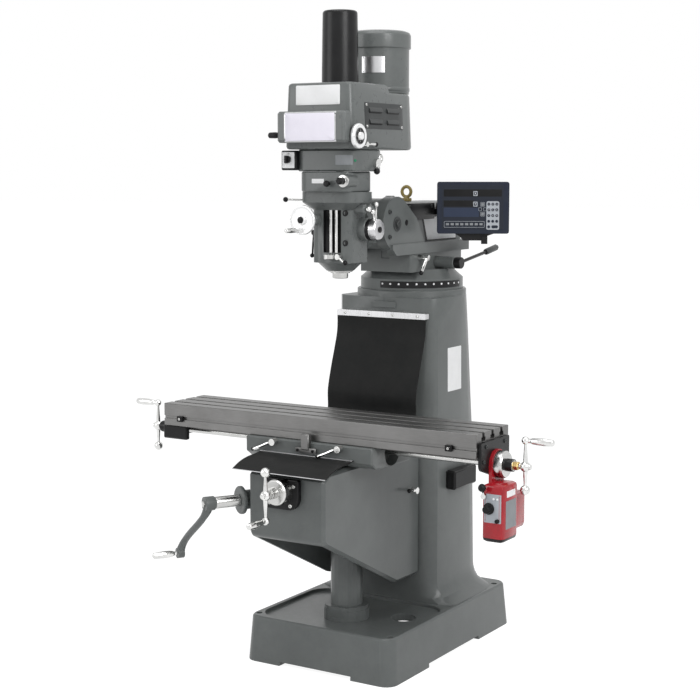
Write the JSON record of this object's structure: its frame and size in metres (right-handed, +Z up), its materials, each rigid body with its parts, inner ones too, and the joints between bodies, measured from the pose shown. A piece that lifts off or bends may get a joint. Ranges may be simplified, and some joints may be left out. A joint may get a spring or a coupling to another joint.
{
  "type": "vertical milling machine",
  "caption": "Knee-type turret milling machine: elevating knee, saddle and T-slot table, sliding ram and tilting quill head.",
  "frame": {"origin": "on the floor, under the middle of the whole machine's box", "axes": "+X to the operator's right along the table, +Y from the operator towards the column, +Z up"},
  "size_m": [1.6742, 1.3355, 2.241],
  "materials": {
    "grey_casting": "semi-gloss grey enamel over cast iron",
    "grey_paint": "semi-gloss grey enamel over sheet steel and aluminium",
    "ground_steel": "ground and machined, light oil film",
    "polished": "polished bright steel",
    "black_metal": "satin black over steel",
    "black_plastic": "satin black",
    "black_rubber": "matt black",
    "feed_red": "glossy dark red",
    "olive": "olive zinc passivate",
    "screen_navy": "satin dark navy"
  },
  "bodies": {
    "base": {"base_casting": "grey_casting", "column": "grey_casting", "screw_pedestal": "grey_casting", "lubricator": "black_plastic", "rear_way_cover": "black_rubber"},
    "knee_body": {"knee": "grey_casting", "crossfeed_bracket": "black_metal", "elevating_bracket": "grey_casting"},
    "elevating_crank_body": {"elevating_crank": "grey_casting"},
    "elevating_screw_body": {"elevating_screw": "ground_steel"},
    "knee_lock_body": {"knee_lock_lever": "polished"},
    "saddle_body": {"saddle": "grey_casting", "way_apron": "black_rubber", "table_stop": "ground_steel"},
    "crossfeed_body": {"crossfeed_screw": "polished", "crossfeed_crank": "polished"},
    "table_lock_left_body": {"table_lock_left": "polished"},
    "table_lock_right_body": {"table_lock_right": "polished"},
    "table_body": {"table": "ground_steel", "left_end_bracket": "black_metal", "right_end_bracket": "black_metal", "power_feed": "feed_red"},
    "table_screw_body": {"table_screw": "polished", "left_ball_crank": "polished", "right_ball_crank": "polished"},
    "feed_lever_body": {"feed_lever": "black_plastic"},
    "feed_knob_body": {"feed_speed_knob": "black_plastic"},
    "turret_body": {"turret": "grey_casting"},
    "ram_body": {"ram": "grey_casting", "eye_bolt": "olive"},
    "ram_pinion_body": {"ram_pinion": "black_metal"},
    "ram_lever_body": {"ram_lever": "black_metal"},
    "ram_lock_body": {"ram_lock_lever": "black_metal"},
    "adapter_body": {"ram_adapter": "grey_casting"},
    "head_body": {"quill_housing": "grey_casting", "feed_gearbox": "grey_casting", "gear_housing": "grey_casting", "belt_housing": "grey_paint", "front_cover": "black_plastic", "motor": "grey_paint", "drawbar_cover": "grey_paint", "switch_box": "black_plastic", "drive_belt": "black_rubber", "depth_stop_nut": "polished"},
    "rotor_body": {"motor_rotor": "ground_steel"},
    "pulley_body": {"spindle_pulley": "ground_steel"},
    "quill_body": {"quill": "ground_steel"},
    "spindle_body": {"spindle": "polished"},
    "quill_feed_body": {"quill_feed_hub": "polished"},
    "fine_wheel_body": {"fine_feed_wheel": "black_metal"},
    "trip_body": {"feed_trip_lever": "polished"},
    "quill_lock_body": {"quill_lock": "polished"},
    "speed_wheel_body": {"speed_wheel": "polished"},
    "brake_body": {"brake_lever": "polished"},
    "switch_body": {"switch_knob": "black_plastic"},
    "select_body": {"feed_select": "polished"},
    "reverse_body": {"feed_reverse": "polished"},
    "hi_lo_body": {"hi_lo_lever": "black_plastic"},
    "dro_arm_body": {"dro_arm": "black_metal"},
    "dro_box_body": {"dro_box": "screen_navy"}
  },
  "joints": [
    {"name": "knee_slide", "type": "slide", "parent": "base", "child": "knee_body", "axis": [0, 0, 1], "range_m": [-0.001, 0.4075], "deforming": ["rear_way_cover"]},
    {"name": "elevating_crank_turn", "type": "hinge", "parent": "knee_body", "child": "elevating_crank_body", "pos_m": [0, -0.08, 0.61], "axis": [-0.5, -0.866, 0], "range_deg": [0, 57600]},
    {"name": "elevating_screw_turn", "type": "hinge", "parent": "knee_body", "child": "elevating_screw_body", "pos_m": [0, -0.08, 0.535], "axis": [0, 0, 1], "range_deg": [-10, 57610]},
    {"name": "knee_lock_turn", "type": "hinge", "parent": "knee_body", "child": "knee_lock_body", "pos_m": [0.1503, 0.118, 0.585], "axis": [1, 0, 0], "range_deg": [-25, 25]},
    {"name": "saddle_slide", "type": "slide", "parent": "knee_body", "child": "saddle_body", "axis": [0, 1, 0], "range_m": [-0.15, 0.15], "deforming": ["way_apron"]},
    {"name": "crossfeed_crank_turn", "type": "hinge", "parent": "knee_body", "child": "crossfeed_body", "pos_m": [0, -0.571, 0.674], "axis": [0, -1, 0], "range_deg": [-10660, 10660]},
    {"name": "table_lock_left_turn", "type": "hinge", "parent": "saddle_body", "child": "table_lock_left_body", "pos_m": [-0.129, -0.3283, 0.802], "axis": [0, 1, 0], "range_deg": [0, 50]},
    {"name": "table_lock_right_turn", "type": "hinge", "parent": "saddle_body", "child": "table_lock_right_body", "pos_m": [0.132, -0.3283, 0.802], "axis": [0, 1, 0], "range_deg": [0, 50]},
    {"name": "table_slide", "type": "slide", "parent": "saddle_body", "child": "table_body", "axis": [1, 0, 0], "range_m": [-0.368, 0.279]},
    {"name": "table_screw_turn", "type": "hinge", "parent": "table_body", "child": "table_screw_body", "pos_m": [0, -0.198, 0.783], "axis": [1, 0, 0], "range_deg": [-26150, 19850]},
    {"name": "feed_lever_turn", "type": "hinge", "parent": "table_body", "child": "feed_lever_body", "pos_m": [0.653, -0.3083, 0.7], "axis": [0, 1, 0], "range_deg": [-25, 25]},
    {"name": "feed_speed_turn", "type": "hinge", "parent": "table_body", "child": "feed_knob_body", "pos_m": [0.668, -0.3083, 0.661], "axis": [0, 1, 0], "range_deg": [-135, 135]},
    {"name": "turret_swivel", "type": "hinge", "parent": "base", "child": "turret_body", "pos_m": [0, 0.372, 1.2853], "axis": [0, 0, 1], "range_deg": [-180, 180]},
    {"name": "ram_slide", "type": "slide", "parent": "turret_body", "child": "ram_body", "axis": [0, 1, 0], "range_m": [-0.187, 0.122]},
    {"name": "ram_pinion_turn", "type": "hinge", "parent": "turret_body", "child": "ram_pinion_body", "pos_m": [0, 0.366, 1.3805], "axis": [-1, 0, 0], "range_deg": [-540, 352]},
    {"name": "ram_lever_turn", "type": "hinge", "parent": "turret_body", "child": "ram_lever_body", "pos_m": [0, 0.366, 1.3805], "axis": [1, 0, 0], "range_deg": [-15, 25]},
    {"name": "ram_lock_turn", "type": "hinge", "parent": "turret_body", "child": "ram_lock_body", "pos_m": [0.1063, 0.234, 1.403], "axis": [1, 0, 0], "range_deg": [-40, 40]},
    {"name": "adapter_tilt", "type": "hinge", "parent": "ram_body", "child": "adapter_body", "pos_m": [0, 0.074, 1.527], "axis": [-1, 0, 0], "range_deg": [-45, 30]},
    {"name": "head_swivel", "type": "hinge", "parent": "adapter_body", "child": "head_body", "pos_m": [0, -0.0576, 1.527], "axis": [0, 1, 0], "range_deg": [-90, 90]},
    {"name": "quill_slide", "type": "slide", "parent": "head_body", "child": "quill_body", "axis": [0, 0, -1], "range_m": [0, 0.127]},
    {"name": "quill_feed_turn", "type": "hinge", "parent": "head_body", "child": "quill_feed_body", "pos_m": [0, -0.108, 1.514], "axis": [1, 0, 0], "range_deg": [-5, 370]},
    {"name": "motor_turn", "type": "hinge", "parent": "head_body", "child": "rotor_body", "pos_m": [0, 0.132, 1.818], "axis": [0, 0, 1], "continuous": true},
    {"name": "pulley_turn", "type": "hinge", "parent": "head_body", "child": "pulley_body", "pos_m": [0, -0.121, 1.818], "axis": [0, 0, 1], "continuous": true},
    {"name": "spindle_turn", "type": "hinge", "parent": "quill_body", "child": "spindle_body", "pos_m": [0, -0.121, 1.3735], "axis": [0, 0, 1], "continuous": true},
    {"name": "fine_feed_turn", "type": "hinge", "parent": "head_body", "child": "fine_wheel_body", "pos_m": [-0.052, -0.268, 1.548], "axis": [0, -1, 0], "continuous": true},
    {"name": "feed_trip_turn", "type": "hinge", "parent": "head_body", "child": "trip_body", "pos_m": [-0.0753, -0.156, 1.502], "axis": [1, 0, 0], "range_deg": [-18, 18]},
    {"name": "quill_lock_turn", "type": "hinge", "parent": "head_body", "child": "quill_lock_body", "pos_m": [0.044, -0.1923, 1.4245], "axis": [0, -1, 0], "range_deg": [-35, 35]},
    {"name": "speed_wheel_turn", "type": "hinge", "parent": "head_body", "child": "speed_wheel_body", "pos_m": [0.1334, -0.24, 1.823], "axis": [1, 0, 0], "range_deg": [-720, 720]},
    {"name": "brake_turn", "type": "hinge", "parent": "head_body", "child": "brake_body", "pos_m": [0.1346, -0.188, 1.797], "axis": [1, 0, 0], "range_deg": [-25, 25]},
    {"name": "switch_turn", "type": "hinge", "parent": "head_body", "child": "switch_body", "pos_m": [-0.126, -0.2483, 1.748], "axis": [0, -1, 0], "range_deg": [-60, 60]},
    {"name": "feed_select_turn", "type": "hinge", "parent": "head_body", "child": "select_body", "pos_m": [0.089, -0.24, 1.677], "axis": [0, -1, 0], "range_deg": [-60, 60]},
    {"name": "feed_reverse_turn", "type": "hinge", "parent": "head_body", "child": "reverse_body", "pos_m": [0.03, -0.2383, 1.668], "axis": [0, -1, 0], "range_deg": [-45, 45]},
    {"name": "hi_lo_turn", "type": "hinge", "parent": "head_body", "child": "hi_lo_body", "pos_m": [0.1253, -0.102, 1.735], "axis": [1, 0, 0], "range_deg": [-40, 40]},
    {"name": "dro_swivel", "type": "hinge", "parent": "ram_body", "child": "dro_arm_body", "pos_m": [0.11, 0.39491, 1.574], "axis": [0, 0, 1], "range_deg": [-20, 20]},
    {"name": "dro_tilt", "type": "hinge", "parent": "dro_arm_body", "child": "dro_box_body", "pos_m": [0.25531, 0.35828, 1.581], "axis": [0.8721, 0.4893, 0], "range_deg": [-20, 20]}
  ],
  "couplings": [
    {"joint": "knee_slide", "follows": "elevating_crank_turn", "m_per_rad": 0.00040425},
    {"joint": "elevating_screw_turn", "follows": "elevating_crank_turn", "ratio": 1},
    {"joint": "crossfeed_crank_turn", "follows": "saddle_slide", "rad_per_m": 1236.8},
    {"joint": "table_screw_turn", "follows": "table_slide", "rad_per_m": 1236.8},
    {"joint": "ram_pinion_turn", "follows": "ram_slide", "rad_per_m": 50},
    {"joint": "quill_feed_turn", "follows": "quill_slide", "rad_per_m": 50},
    {"joint": "pulley_turn", "follows": "motor_turn", "ratio": 0.56667},
    {"joint": "spindle_turn", "follows": "motor_turn", "ratio": 0.56667}
  ]
}
